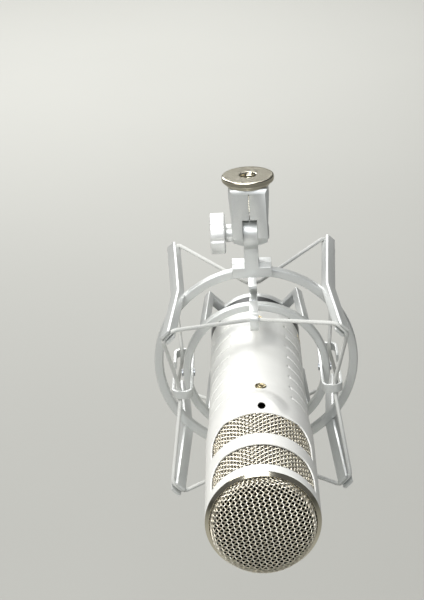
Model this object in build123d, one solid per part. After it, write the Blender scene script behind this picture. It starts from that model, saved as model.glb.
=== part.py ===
from build123d import *
from math import asin, cos, pi, sin
import os

# An end-address ribbon microphone held by an elastic shock mount, which hangs from a swivel on a stand
# thread. Millimetres. The origin is the mouth of the stand thread, +Z is that thread's axis, and the
# microphone's axis runs along Y with its grille towards -Y. On turned parts an outline is a list of
# (radius, y) points about the microphone's axis. A clock angle is measured about that axis: 0 is the top,
# 90 is the +X side.

# ---- where the main parts stand
mic_drop = 113.2  # stand thread mouth down to the microphone's axis
pivot_drop = 33.5  # stand thread mouth down to the tilt pivot
running_gap = 0.05  # radial clearance of a part that turns on another
face_gap = 0.1  # between flat faces that pass each other
soft_gap = 0.3  # around an elastic cord
past = 1.0  # how far a cutting shape runs past the face it cuts

# ---- thread adaptor (a 5/8 inch to 3/8 inch reducer with a flange)
stand_bore_radius = 4.0
flange_radius = 14.3
flange_height = 3.0
collar_radius = 12.2
collar_height = 2.0
spigot_radius = 7.9
spigot_length = 14.0
flange_edge = 0.6

# ---- swivel barrel with its clevis
barrel_top_width = 22.3
barrel_foot_width = 18.6
barrel_depth = 22.0
barrel_foot_depth = 12.0
barrel_edge = 2.2
barrel_bevel = 2.4
barrel_foot_drop = 39.4
cheek_slope = 2.6
slit_width = 0.45
slit_top_drop = 7.6
slot_top_drop = 22.6
slot_width = 8.2

# ---- clamp screw, knob and nut
clamp_screw_radius = 2.5
knob_radius = 11.5
knob_width = 8.3
knob_flutes = 8
knob_flute_radius = 2.6
knob_flute_depth = 0.7
knob_edge = 1.0
knob_skin = 1.5  # how far the screw stops inside the knob's face
spacer_radius = 5.0
spacer_width = 4.4
seat_radius = 6.0
seat_offset = 9.2  # flat seat on each cheek, from the middle of the barrel
nut_radius = 4.2
nut_width = 1.2
nut_edge = 0.5
nut_recess = 0.4  # how far the screw stops inside the nut's face

# ---- tongue and saddle
tongue_width = slot_width - 0.3
tongue_radius = 9.0
saddle_cover = 3.5  # how far the saddle reaches in front of and behind the ring
neck_front = -saddle_cover
neck_back = 5.5
saddle_width = 21.8
saddle_height = 8.1
saddle_bevel = 2.4
saddle_lap = 4.2  # how far the saddle reaches down over the ring

# ---- outer frame
cradle_ring_radius = 41.4
outer_ring_radius = cradle_ring_radius + 16.6  # leaves room for the hooks and the float
outer_ring_wall = 5.0
outer_ring_width = 5.0
ring_edge = 0.8
arm_root_radius = outer_ring_radius + 1.8  # middle of the arm where it crosses the ring
arm_tip_radius = outer_ring_radius + 7.0
arm_reach = 63.5  # ring's middle to an arm's tip, along the axis
arm_thickness = 5.6
arm_width = 7.0
arm_edge = 0.8
fork_width = 2.9
fork_depth = 4.2
cord_turn = 0.6  # from a fork's or a hook's side to the corner of the cord's route
arm_clocks = {"upper_right": 45, "lower_right": 135, "lower_left": 225, "upper_left": 315}

# ---- cradle
cradle_ring_wall = 4.4
cradle_ring_width = 5.0
cradle_ring_y = -12.0
hook_width = 4.6
hook_strip = 1.4
hook_front_y = -38.0
hook_rear_y = 18.0
hook_outer_radius = cradle_ring_radius + 5.6
hook_leg = 17.5
hook_bend = 4.0
hook_clocks = {"top": 0, "right": 90, "bottom": 180, "left": 270}
rivet_radius = 1.2
rivet_head_radius = 2.1
rivet_head = 0.8
rib_width = 5.0
rib_thickness = 4.0
rib_rear_radius = cradle_ring_radius - 3.2
rib_root = 2.0  # how deep a rib is let into the collar
collar_outer_radius = 26.0
collar_front_y = 34.5
collar_width = 5.0

# ---- elastics
elastic_radius = 1.1
elastic_hook_radius = hook_outer_radius - 4.4  # where the cord sits in a hook, from the axis
elastic_bend = 2.6
elastic_butt = 0.05  # from the middle of a fork to each end of the cord

# ---- microphone casing
head_radius = 28.0
tail_radius = 26.0
mic_turn = 3.6  # the microphone is screwed into the cradle a little past upright
shell_front_y = -174.5
shoulder_y = -100.0
waist_y = -80.0
tail_y = -35.0
shell_rear_y = 20.5
shell_wall = 2.0
head_wall_rear_y = -113.0
windows_y = ((-168.0, -148.0), (-137.0, -114.4))
window_end = 63.5  # clock angle from a window's middle to each end
facet_radius = 27.3  # the sloping land behind the rear windows, at its front edge
facet_slope = 0.5
facet_height = 6.0
facet_half_angle = 50
facet_front_y = -124.0
boss_y = -104.0
boss_foot = 24.2  # where the boss starts, inside the wall, from the axis
boss_base_radius = 15.0
boss_top_radius = 3.0
boss_height = 3.6
groove_first_y = 2.8
groove_pitch = 12.76
groove_count = 8
groove_width = 1.4
groove_depth = 0.5
groove_from = 38
groove_to = 98

# ---- head parts
bezel_front_y = -176.0
bezel_skirt_y = -168.5
bezel_wall = 0.5
bezel_edge = 0.4
cap_radius = head_radius - shell_wall - bezel_wall - 0.1
cap_skirt_y = -169.5
cap_shoulder_y = -178.4
cap_shoulder_radius = cap_radius - 5.8
cap_face_y = -183.6
cap_front_y = -184.8
cap_bulge = 0.22  # how far the shoulder stands out, as a share of its width
mesh_thickness = 0.8
foam_clearance = 1.0
sleeve_gap = 0.1
sleeve_wall = 0.6
liner_wall = 1.5
lens_radius = 1.95
lens_y = -110.4
lens_recess = 1.6
led_radius = 1.55
led_length = 3.7
badge_radius = 3.0
badge_y = -84.2
badge_thickness = 0.7

# ---- rear parts
rear_cap_radius = tail_radius - 0.5
rear_cap_wall = 2.6
spigot_seat_y = -2.0
thread_radius = 19.0
thread_rear_y = 43.5
lock_ring_radius = 24.2
lock_ring_width = 3.7
lock_ring_notches = 12
notch_radius = 1.6
notch_sink = 0.6  # how far a notch's middle stands off the ring's rim
socket_bore_radius = 9.5
socket_wall = 1.4
socket_depth = 16.0
insert_thickness = 3.0
pin_radius = 1.2
pin_circle = 6.2
pin_length = 11.0
pin_tail = 2.0
pin_clocks = (60, 180, 300)
chassis_screws_at = ((0, 4.0), (71.4, 14.0))  # clock angle on the microphone, and y
screw_head_radius = 3.0
screw_head = 0.8
screw_shank_radius = 1.25
screw_shank = 4.6
screw_socket_radius = 0.9
screw_socket = 0.5

# ---- ribbon motor
motor_y = -157.0
ribbon_width = 4.6
ribbon_length = 33.6
ribbon_thickness = 0.2
ribbon_wave = 0.45
ribbon_half_waves = 28
clamp_length = 2.6
clamp_width = 12.0
clamp_thickness = 1.6
magnet_length = 28.0
magnet_width = 6.0
magnet_depth = 8.0
pole_gap = 2.6
pole_thickness = 0.8
motor_frame_wall = 3.0
motor_frame_depth = 10.0
motor_screw_radius = 0.8
motor_screw_inset = 1.6
motor_screw_head_radius = 1.2
motor_screw_head = 0.8
carrier_disc_radius = 20.0
carrier_opening = 9.0
carrier_disc = 2.5
carrier_tube_radius = 12.0
carrier_tube_wall = 1.5
carrier_rear_y = -90.0
isolators_y = (-106.0, -96.0)
isolator_width = 4.0

# ---- electronics
tray_half_width = 17.0
tray_drop = 11.0
tray_thickness = 1.5
tray_front_y = -84.0
tray_rear_y = 20.0
core_size = (22.0, 20.0, 16.0)
coil_size = (12.0, 26.0, 9.0)
transformer_y = -68.0
board_half_width = 15.0
board_thickness = 1.6
board_front_y = -48.0
board_rear_y = 12.0
standoff_height = 5.0
standoff_radius = 2.2

# ---- sizes that follow from those above
ring_middle_y = outer_ring_width / 2
outer_ring_bore = outer_ring_radius - outer_ring_wall
cradle_ring_bore = cradle_ring_radius - cradle_ring_wall
collar_rear_y = collar_front_y + collar_width
spigot_base_drop = flange_height + collar_height + spigot_length
shell_bore = tail_radius - shell_wall
head_bore = head_radius - shell_wall
knob_inner_x = seat_offset + face_gap + spacer_width
pin_base_y = thread_rear_y - socket_depth
fork_floor = arm_reach - fork_depth
elastic_tip_offset = fork_floor + soft_gap + elastic_radius
carrier_front_y = motor_y + motor_frame_depth / 2
clamp_offset = (magnet_length + clamp_length) / 2 + face_gap
frame_half_length = magnet_length / 2 + clamp_length + 2 * face_gap
frame_half_width = pole_gap + pole_thickness + magnet_width


def on_axis(shape):
    """Move a shape from the origin down to the microphone's axis."""
    return Pos(0, 0, -mic_drop) * shape


def at_clock(shape, clock):
    """Turn a shape built with +X outwards and +Y rearwards to a clock angle about the microphone's axis."""
    return on_axis(Rot(0, clock - 90, 0) * shape)


def outline(points):
    """A flat face inside a closed run of straight lines."""
    return make_face(Polyline(*points, close=True))


def turned(points):
    """A solid of revolution about the microphone's axis."""
    return on_axis(revolve(outline(points), Axis.Y))


def tube(outer, inner, front, rear):
    """A plain tube about the microphone's axis."""
    return turned([(inner, front), (outer, front), (outer, rear), (inner, rear)])


def rod(radius, front, rear):
    """A plain rod along the microphone's axis."""
    return turned([(0, front), (radius, front), (radius, rear), (0, rear)])


def sector(outer, inner, front, rear, clock_from, clock_to):
    """Part of a tube about the microphone's axis, from one clock angle to another."""
    face = outline([(inner, front), (outer, front), (outer, rear), (inner, rear)])
    return at_clock(revolve(face, Axis.Y, clock_to - clock_from), clock_from)


def chamfered_ring(outer, inner, front, rear, edge):
    """A tube whose four corners are bevelled."""
    points = [(inner, front + edge), (inner + edge, front), (outer - edge, front), (outer, front + edge)]
    points += [(outer, rear - edge), (outer - edge, rear), (inner + edge, rear), (inner, rear - edge)]
    return turned(points)


def radial_rod(radius, inner, outer, y, clock):
    """A round rod that stands out from the microphone's axis."""
    middle = Pos((inner + outer) / 2, y, 0)
    return at_clock(middle * Rot(0, 90, 0) * Cylinder(radius, outer - inner), clock)


def upright(radius, top, bottom):
    """A round rod on the stand thread's axis, between two heights."""
    return Pos(0, 0, (top + bottom) / 2) * Cylinder(radius, top - bottom)


def across(radius, left, right):
    """A round rod along the tilt pivot, between two places on X."""
    return Pos((left + right) / 2, 0, -pivot_drop) * Rot(0, 90, 0) * Cylinder(radius, right - left)


def block(low, high):
    """A box between two opposite corners."""
    size = [b - a for a, b in zip(low, high)]
    return Pos(*[(a + b) / 2 for a, b in zip(low, high)]) * Box(*size)


def mic_block(low, high):
    """A box whose heights are counted from the microphone's axis."""
    return on_axis(block(low, high))


# ---- stand thread, swivel and tilt clamp
def thread_adaptor():
    body = upright(flange_radius, 0, -flange_height)
    body = chamfer(body.edges().group_by(Axis.Z)[-1], flange_edge)
    body += upright(collar_radius, -flange_height, -flange_height - collar_height)
    body += upright(spigot_radius, -flange_height, -spigot_base_drop)
    return body - upright(stand_bore_radius, past, -spigot_base_drop - past)


def barrel_front_view():
    """The barrel's outline seen from the front, as points of X and Z."""
    top = -flange_height - collar_height - face_gap
    half_top = barrel_top_width / 2
    half_foot = barrel_foot_width / 2
    side = [(half_top - barrel_bevel / 2, top), (half_top, top - barrel_bevel)]
    side += [(half_foot, -barrel_foot_drop + cheek_slope), (slot_width / 2, -barrel_foot_drop)]
    return side + [(-x, z) for x, z in reversed(side)]


def barrel_side_view():
    """The barrel's outline seen from the side, as points of Y and Z."""
    top = -flange_height - collar_height - face_gap
    half_top = barrel_depth / 2
    half_foot = barrel_foot_depth / 2
    side = [(half_top - barrel_bevel / 2, top), (half_top, top - barrel_bevel)]
    side += [(half_top - barrel_bevel / 4, -pivot_drop), (half_foot, -barrel_foot_drop)]
    return side + [(-y, z) for y, z in reversed(side)]


def swivel_barrel():
    front = extrude(Plane.XZ * outline(barrel_front_view()), barrel_depth, both=True)
    side = extrude(Plane.YZ * outline(barrel_side_view()), barrel_top_width, both=True)
    height = barrel_foot_drop + 2 * past
    post = Pos(0, 0, -barrel_foot_drop / 2) * Box(barrel_top_width, barrel_depth, height)
    post = chamfer(post.edges().filter_by(Axis.Z), barrel_edge)
    body = front & side & post
    body -= upright(spigot_radius + running_gap, 0, -spigot_base_drop - face_gap)
    body -= block((-slit_width / 2, -barrel_depth, -slot_top_drop), (slit_width / 2, 0, -slit_top_drop))
    body -= block(
        (-slot_width / 2, -barrel_depth, -barrel_foot_drop - past),
        (slot_width / 2, barrel_depth, -slot_top_drop),
    )
    for side_sign in (-1, 1):
        ends = sorted((side_sign * seat_offset, side_sign * barrel_top_width))
        body -= across(seat_radius, *ends)
    return body - across(clamp_screw_radius + running_gap, -barrel_top_width, barrel_top_width)


def clamp_nut():
    nut = across(nut_radius, seat_offset, seat_offset + nut_width)
    nut = chamfer(nut.edges().group_by(Axis.X)[-1], nut_edge)
    return nut - across(clamp_screw_radius + running_gap, 0, barrel_top_width)


def clamp_screw():
    left = -knob_inner_x - knob_width + knob_skin
    return across(clamp_screw_radius, left, seat_offset + nut_width - nut_recess)


def thumb_knob():
    knob = across(knob_radius, -knob_inner_x - knob_width, -knob_inner_x)
    knob = fillet(knob.edges(), knob_edge)
    middle = Pos(-knob_inner_x, 0, -pivot_drop)
    flute_circle = knob_radius + knob_flute_radius - knob_flute_depth
    for index in range(knob_flutes):
        turn = Rot(360 * index / knob_flutes, 0, 0) * Pos(0, flute_circle, 0)
        knob -= middle * turn * Rot(0, 90, 0) * Cylinder(knob_flute_radius, 3 * knob_width)
    return knob - across(clamp_screw_radius, -knob_inner_x - knob_width + knob_skin, 0)


def knob_spacer():
    spacer = across(spacer_radius, -knob_inner_x, -knob_inner_x + spacer_width)
    return spacer - across(clamp_screw_radius, -knob_inner_x - past, 0)


def neck_side_view():
    """The tongue's neck seen from the side: it narrows from the round head down to the saddle."""
    foot = -mic_drop + outer_ring_radius
    return [
        (-tongue_radius, -pivot_drop),
        (tongue_radius, -pivot_drop),
        (neck_back, -pivot_drop - tongue_radius),
        (neck_back, foot),
        (neck_front, foot),
        (neck_front, -pivot_drop - tongue_radius),
    ]


def tongue_saddle():
    ring_top = -mic_drop + outer_ring_radius
    low = ring_top - saddle_lap
    head = across(tongue_radius, -tongue_width / 2, tongue_width / 2)
    neck = extrude(Plane.YZ * outline(neck_side_view()), tongue_width / 2, both=True)
    saddle = block(
        (-saddle_width / 2, -saddle_cover, low),
        (saddle_width / 2, outer_ring_width + saddle_cover, low + saddle_height),
    )
    saddle = chamfer(saddle.edges().filter_by(Axis.X).group_by(Axis.Z)[-1], saddle_bevel)
    body = head + neck + saddle - ring_space()
    return body - across(clamp_screw_radius + running_gap, -tongue_width, tongue_width)


# ---- outer frame
def ring_space():
    return tube(outer_ring_radius, outer_ring_bore, 0, outer_ring_width)


def outer_ring():
    return chamfered_ring(outer_ring_radius, outer_ring_bore, 0, outer_ring_width, ring_edge)


def arm_side_view():
    """An arm seen from the side: a shallow V with its middle on the ring and a tip at each end."""
    half = arm_thickness / 2
    front = ring_middle_y - arm_reach
    rear = ring_middle_y + arm_reach
    outer = [(arm_tip_radius + half, front), (arm_root_radius + half, ring_middle_y)]
    outer.append((arm_tip_radius + half, rear))
    return outer + [(r - arm_thickness, y) for r, y in reversed(outer)]


def frame_arm(clock):
    arm = extrude(outline(arm_side_view()), arm_width / 2, both=True)
    arm = chamfer(arm.edges().filter_by(GeomType.LINE).filter_by(Axis.Z, reverse=True), arm_edge)
    for sign in (-1, 1):
        slot_middle = ring_middle_y + sign * (arm_reach - fork_depth / 2 + past / 2)
        arm -= Pos(arm_tip_radius, slot_middle, 0) * Box(fork_width, fork_depth + past, 2 * arm_width)
    return at_clock(arm, clock) - ring_space()


# ---- cradle
def cradle_ring():
    rear = cradle_ring_y + cradle_ring_width
    ring = chamfered_ring(cradle_ring_radius, cradle_ring_bore, cradle_ring_y, rear, ring_edge)
    for clock in hook_clocks.values():
        ring -= rivet_hole(clock)
    return ring


def rivet_hole(clock):
    middle = cradle_ring_y + cradle_ring_width / 2
    inner = cradle_ring_bore - 2 * hook_strip
    return radial_rod(rivet_radius, inner, cradle_ring_radius + past, middle, clock)


def hook_strap(clock):
    """A flat strip along the axis whose ends curl outwards into two open hooks."""
    inner = cradle_ring_bore - hook_strip / 2
    outer = hook_outer_radius - hook_strip / 2
    front = hook_front_y + hook_strip / 2
    rear = hook_rear_y - hook_strip / 2
    route = [(outer, front + hook_leg), (outer, front), (inner, front)]
    route += [(inner, rear), (outer, rear), (outer, rear - hook_leg)]
    strip = trace(FilletPolyline(*route, radius=hook_bend), line_width=hook_strip)
    strap = at_clock(extrude(strip, hook_width / 2, both=True), clock) - rivet_hole(clock)
    ring_rear = cradle_ring_y + cradle_ring_width
    return strap - tube(cradle_ring_radius, cradle_ring_bore, cradle_ring_y, ring_rear)


def hook_rivets():
    middle = cradle_ring_y + cradle_ring_width / 2
    inner = cradle_ring_bore - hook_strip
    rivets = []
    for clock in hook_clocks.values():
        rivet = radial_rod(rivet_radius, inner, cradle_ring_radius, middle, clock)
        outer = cradle_ring_radius + rivet_head
        rivet += radial_rod(rivet_head_radius, cradle_ring_radius, outer, middle, clock)
        rivet += radial_rod(rivet_head_radius, inner - rivet_head, inner, middle, clock)
        rivets.append(rivet)
    return Compound(children=rivets)


def cradle_rib(clock):
    """A rib that runs back from the cradle ring and turns in to the rear collar."""
    ring_rear = cradle_ring_y + cradle_ring_width
    points = [
        (cradle_ring_radius - rib_thickness, ring_rear),
        (cradle_ring_radius, ring_rear),
        (rib_rear_radius, collar_rear_y),
        (collar_outer_radius - rib_root, collar_rear_y),
        (collar_outer_radius - rib_root, collar_front_y),
        (rib_rear_radius - rib_thickness, collar_front_y),
    ]
    rib = at_clock(extrude(outline(points), rib_width / 2, both=True), clock)
    return rib - rod(collar_outer_radius, collar_front_y - past, collar_rear_y + past)


def rear_collar():
    return tube(collar_outer_radius, thread_radius, collar_front_y, collar_rear_y)


def lock_ring():
    front = collar_rear_y + face_gap
    ring = tube(lock_ring_radius, thread_radius + running_gap, front, front + lock_ring_width)
    for index in range(lock_ring_notches):
        middle = Pos(lock_ring_radius + notch_sink, front, 0)
        notch = middle * Rot(90, 0, 0) * Cylinder(notch_radius, 3 * lock_ring_width)
        ring -= at_clock(notch, 360 * index / lock_ring_notches)
    return ring


# ---- elastics
def elastic_points(side):
    """Corners of an elastic's route, from the lower left tip right round to it. side is -1 in front."""
    tip_y = ring_middle_y + side * elastic_tip_offset
    hook_face = hook_front_y if side < 0 else hook_rear_y
    hook_y = hook_face - side * (hook_strip + soft_gap + elastic_radius)
    at_fork = arm_width / 2 + cord_turn
    at_hook = hook_width / 2 + cord_turn
    first = arm_clocks["lower_left"]
    points = [(arm_tip_radius, tip_y, elastic_butt, first)]
    for tip_clock in (first, first + 90, first + 180, first + 270):
        points.append((arm_tip_radius, tip_y, at_fork, tip_clock))
        points.append((elastic_hook_radius, hook_y, -at_hook, tip_clock + 45))
        points.append((elastic_hook_radius, hook_y, at_hook, tip_clock + 45))
        points.append((arm_tip_radius, tip_y, -at_fork, tip_clock + 90))
    return points + [(arm_tip_radius, tip_y, -elastic_butt, first)]


def elastic(side):
    corners = []
    for radius, y, sideways, clock in elastic_points(side):
        spot = at_clock(Pos(radius, y, -sideways), clock)
        corners.append(spot.position)
    path = FilletPolyline(*corners, radius=elastic_bend)
    start = Plane(origin=path @ 0, z_dir=path % 0)
    cord = sweep(start * Circle(elastic_radius), path=path)
    full = pi * elastic_radius**2 * path.length
    print("elastic", round(path.length, 1), "mm; volume ratio", round(cord.volume / full, 4))
    return cord


# ---- microphone casing
def shell_radius(y):
    """Outer radius of the casing behind the bevel."""
    if y < waist_y:
        return head_radius + (waist_radius() - head_radius) * (y - shoulder_y) / (waist_y - shoulder_y)
    if y < tail_y:
        return waist_radius() + (tail_radius - waist_radius()) * (y - waist_y) / (tail_y - waist_y)
    return tail_radius


def waist_radius():
    return tail_radius + (head_radius - tail_radius) / 3


def casing():
    points = [(head_bore, shell_front_y), (head_radius, shell_front_y), (head_radius, shoulder_y)]
    points += [(waist_radius(), waist_y), (tail_radius, tail_y), (tail_radius, shell_rear_y)]
    points += [(shell_bore, shell_rear_y), (shell_bore, head_wall_rear_y), (head_bore, head_wall_rear_y)]
    return turned(points)


def status_boss():
    """A low round boss on top of the casing, round the status light."""
    top = head_radius + boss_height
    points = [(boss_foot, 0), (top, 0), (top, boss_top_radius), (boss_foot, boss_base_radius)]
    return at_clock(Pos(0, boss_y, 0) * revolve(outline(points), Axis.X), mic_turn)


def facets():
    """What is cut away to leave the land that slopes down to the rear edge of each rear window."""
    foot_y = windows_y[1][1]
    high = facet_radius + facet_height
    points = [(facet_radius, facet_front_y), (high, facet_front_y)]
    points += [(high, foot_y + facet_height / facet_slope), (facet_radius, foot_y)]
    wedge = revolve(outline(points), Axis.Y, 2 * facet_half_angle)
    return [at_clock(wedge, mic_turn + middle - facet_half_angle) for middle in (0, 180)]


def grooves():
    cuts = []
    for index in range(groove_count):
        y = groove_first_y - index * groove_pitch
        deep = shell_radius(y) - groove_depth
        front = y - groove_width / 2
        for start in (mic_turn + groove_from, mic_turn - groove_to):
            stop = start + groove_to - groove_from
            cuts.append(sector(head_radius + past, deep, front, front + groove_width, start, stop))
    return cuts


def windows():
    """Slots through the wall of the head, two on top and two below, square in front and round behind."""
    cuts = []
    for front, rear in windows_y:
        rounding = (rear - front) / 2
        middle_y = (front + rear) / 2
        straight = window_end - asin(rounding / head_radius) * 180 / pi
        for middle in (mic_turn, mic_turn + 180):
            for stop_y, reach in ((rear, straight), (middle_y, window_end)):
                ends = (middle - reach, middle + reach)
                cuts.append(sector(head_radius + past, head_bore - past, front, stop_y, *ends))
            for clock in (middle - straight, middle + straight):
                cuts.append(radial_rod(rounding, shell_bore - past, 2 * head_radius, middle_y, clock))
    return cuts


def body_shell():
    shell = casing() + status_boss() - rod(head_bore, shell_front_y, head_wall_rear_y)
    for cut in facets() + windows() + grooves():
        shell -= cut
    above = head_radius + facet_height
    shell -= radial_rod(lens_radius, shell_bore - past, above, lens_y, mic_turn)
    shell -= radial_rod(badge_radius, shell_radius(badge_y) - badge_thickness / 2, above, badge_y, mic_turn)
    for clock, y in chassis_screws_at:
        shell -= radial_rod(screw_shank_radius, shell_bore - past, head_radius, y, mic_turn + clock)
        shell -= radial_rod(screw_head_radius, tail_radius - screw_head, head_radius, y, mic_turn + clock)
    return shell


def front_bezel():
    bore = head_bore - bezel_wall
    points = [(bore, bezel_front_y), (head_radius - bezel_edge, bezel_front_y)]
    points += [(head_radius, bezel_front_y + bezel_edge)]
    points += [(head_radius, shell_front_y), (head_bore, shell_front_y)]
    return turned(points + [(head_bore, bezel_skirt_y), (bore, bezel_skirt_y)])


def dome_edge(shrink):
    """The grille's outline from its skirt to its middle, moved inwards by a thickness."""
    skirt = (cap_radius - shrink, cap_shoulder_y)
    rim = (cap_shoulder_radius - shrink / 2, cap_face_y + shrink)
    middle = (0, cap_front_y + shrink)
    bulge = cap_bulge * (cap_radius - cap_shoulder_radius)
    knee = ((skirt[0] + rim[0]) / 2 + bulge, (skirt[1] + rim[1]) / 2 - bulge)
    rise = rim[1] - middle[1]
    sphere = (rim[0] ** 2 + rise**2) / (2 * rise)
    half_turn = asin(rim[0] / sphere) / 2
    crown = (sphere * sin(half_turn), middle[1] + sphere * (1 - cos(half_turn)))
    return [ThreePointArc(skirt, knee, rim), ThreePointArc(rim, crown, middle)]


def domed_rod(shrink):
    """A solid rod whose front is domed like the grille."""
    radius = cap_radius - shrink
    middle = Line((0, cap_front_y + shrink), (0, cap_skirt_y))
    foot = Line((0, cap_skirt_y), (radius, cap_skirt_y))
    side = Line((radius, cap_skirt_y), (radius, cap_shoulder_y))
    return on_axis(revolve(make_face([middle, foot, side, *dome_edge(shrink)]), Axis.Y))


def front_grille():
    return domed_rod(0) - domed_rod(mesh_thickness)


def pop_filter():
    """Foam disc behind the front grille."""
    radius = cap_radius - mesh_thickness - soft_gap
    behind = mesh_thickness + foam_clearance
    points = [(0, cap_front_y + behind), (cap_shoulder_radius - 2 * foam_clearance, cap_face_y + behind)]
    points += [(radius, cap_shoulder_y + foam_clearance), (radius, cap_skirt_y), (0, cap_skirt_y)]
    return turned(points)


def side_grille():
    outer = head_bore - sleeve_gap
    return tube(outer, outer - sleeve_wall, bezel_skirt_y + soft_gap, head_wall_rear_y - sleeve_gap)


def side_liner():
    outer = head_bore - sleeve_gap - sleeve_wall - soft_gap
    return tube(outer, outer - liner_wall, cap_skirt_y + soft_gap, head_wall_rear_y - foam_clearance)


def status_lens():
    return radial_rod(lens_radius, shell_bore, head_radius - lens_recess, lens_y, mic_turn)


def badge():
    base = shell_radius(badge_y) - badge_thickness / 2
    return radial_rod(badge_radius, base, base + badge_thickness, badge_y, mic_turn)


def chassis_screws():
    screws = []
    for clock, y in chassis_screws_at:
        seat = tail_radius - screw_head
        turned_to = mic_turn + clock
        screw = radial_rod(screw_head_radius, seat, tail_radius, y, turned_to)
        screw += radial_rod(screw_shank_radius, seat - screw_shank, seat, y, turned_to)
        floor = tail_radius - screw_socket
        screw -= radial_rod(screw_socket_radius, floor, tail_radius + past, y, turned_to)
        screws.append(screw)
    return Compound(children=screws)


def rear_cap():
    """The closing cap: a sleeve inside the casing, a collar flush behind it and the threaded tail."""
    inner = shell_bore - rear_cap_wall
    points = [(inner, spigot_seat_y), (shell_bore, spigot_seat_y), (shell_bore, shell_rear_y)]
    points += [(rear_cap_radius, shell_rear_y), (rear_cap_radius, collar_front_y)]
    points += [(thread_radius, collar_front_y), (thread_radius, thread_rear_y)]
    points += [(socket_outer(), thread_rear_y), (socket_outer(), pin_base_y), (inner, pin_base_y)]
    cap = turned(points)
    for clock, y in chassis_screws_at:
        cap -= radial_rod(screw_shank_radius, inner - past, head_radius, y, mic_turn + clock)
    return cap


def socket_outer():
    return socket_bore_radius + socket_wall


def socket_shell():
    return tube(socket_outer(), socket_bore_radius, pin_base_y, thread_rear_y)


def socket_insert():
    insert = rod(socket_outer(), pin_base_y - insert_thickness, pin_base_y)
    for clock in pin_clocks:
        insert -= pin_rod(clock, pin_base_y - insert_thickness - past, pin_base_y + past)
    return insert


def pin_rod(clock, front, rear):
    pin = Pos(pin_circle, (front + rear) / 2, 0) * Rot(90, 0, 0) * Cylinder(pin_radius, rear - front)
    return at_clock(pin, clock)


def socket_pins():
    front = pin_base_y - insert_thickness - pin_tail
    return Compound(children=[pin_rod(clock, front, pin_base_y + pin_length) for clock in pin_clocks])


# ---- ribbon motor: the ribbon faces forwards and hangs upright between two magnets
def ribbon():
    """A corrugated foil strip whose flat ends lie between the clamps."""
    steps = ribbon_half_waves
    active = magnet_length - 1
    line = [(-ribbon_length / 2, 0)]
    for index in range(steps + 1):
        wave = ribbon_wave * (0 if index in (0, steps) else (-1) ** index)
        line.append((-active / 2 + active * index / steps, wave))
    line.append((ribbon_length / 2, 0))
    half = ribbon_thickness / 2
    front = [(z, motor_y + y - half) for z, y in line]
    back = [(z, motor_y + y + half) for z, y in reversed(line)]
    upright_plane = Plane(origin=(0, 0, 0), x_dir=(0, 0, 1), z_dir=(-1, 0, 0))
    return on_axis(extrude(upright_plane * outline(front + back), ribbon_width / 2, both=True))


def ribbon_clamps():
    bars = []
    for end in (-1, 1):
        for side in (-1, 1):
            near = motor_y + side * ribbon_thickness / 2
            ys = sorted((near, near + side * clamp_thickness))
            zs = (end * clamp_offset - clamp_length / 2, end * clamp_offset + clamp_length / 2)
            bar = mic_block((-clamp_width / 2, ys[0], zs[0]), (clamp_width / 2, ys[1], zs[1]))
            for x in screw_xs():
                bar -= motor_screw_hole(x, end * clamp_offset)
            bars.append(bar)
    return Compound(children=bars)


def screw_xs():
    return (-clamp_width / 2 + motor_screw_inset, clamp_width / 2 - motor_screw_inset)


def motor_screw_hole(x, z):
    hole = Pos(x, motor_y, z) * Rot(90, 0, 0) * Cylinder(motor_screw_radius, 4 * clamp_thickness)
    return on_axis(hole)


def ribbon_screws():
    """Four small screws that close the ribbon's clamps."""
    screws = []
    length = 2 * clamp_thickness + ribbon_thickness
    for end in (-1, 1):
        for x in screw_xs():
            place = Pos(x, motor_y, end * clamp_offset) * Rot(90, 0, 0)
            shank = place * Cylinder(motor_screw_radius, length)
            head = place * Pos(0, 0, (length + motor_screw_head) / 2)
            head *= Cylinder(motor_screw_head_radius, motor_screw_head)
            screws.append(on_axis(shank + head))
    return Compound(children=screws)


def side_pair(inner, outer, half_length, depth):
    """Two upright bars, one on each side of the ribbon."""
    bars = []
    for side in (-1, 1):
        xs = sorted((side * inner, side * outer))
        low = (xs[0], motor_y - depth / 2, -half_length)
        bars.append(mic_block(low, (xs[1], motor_y + depth / 2, half_length)))
    return Compound(children=bars)


def pole_pieces():
    return side_pair(pole_gap, pole_gap + pole_thickness, magnet_length / 2, magnet_depth)


def magnets():
    return side_pair(pole_gap + pole_thickness, frame_half_width, magnet_length / 2, magnet_depth)


def motor_frame():
    """A rectangular steel yoke round the magnets and the clamps."""
    front = motor_y - motor_frame_depth / 2
    wide = frame_half_width + motor_frame_wall
    tall = frame_half_length + motor_frame_wall
    frame = mic_block((-wide, front, -tall), (wide, carrier_front_y, tall))
    return frame - mic_block(
        (-frame_half_width, front - past, -frame_half_length),
        (frame_half_width, carrier_front_y + past, frame_half_length),
    )


def motor_carrier():
    """The disc and tube that carry the motor on its rubber isolators."""
    carrier = tube(carrier_disc_radius, carrier_opening, carrier_front_y, carrier_front_y + carrier_disc)
    inner = carrier_tube_radius - carrier_tube_wall
    return carrier + tube(carrier_tube_radius, inner, carrier_front_y + carrier_disc, carrier_rear_y)


def isolator_rings():
    rings = [tube(shell_bore, carrier_tube_radius, y, y + isolator_width) for y in isolators_y]
    return Compound(children=rings)


# ---- electronics
def chassis_tray():
    low = -tray_drop - tray_thickness
    return mic_block((-tray_half_width, tray_front_y, low), (tray_half_width, tray_rear_y, -tray_drop))


def transformer_core():
    width, length, height = core_size
    core = mic_block(
        (-width / 2, transformer_y - length / 2, -tray_drop),
        (width / 2, transformer_y + length / 2, -tray_drop + height),
    )
    return core - coil_space()


def coil_space():
    width, length, height = coil_size
    middle = -tray_drop + core_size[2] / 2
    return mic_block(
        (-width / 2, transformer_y - length / 2, middle - height / 2),
        (width / 2, transformer_y + length / 2, middle + height / 2),
    )


def transformer_coil():
    return coil_space()


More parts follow.
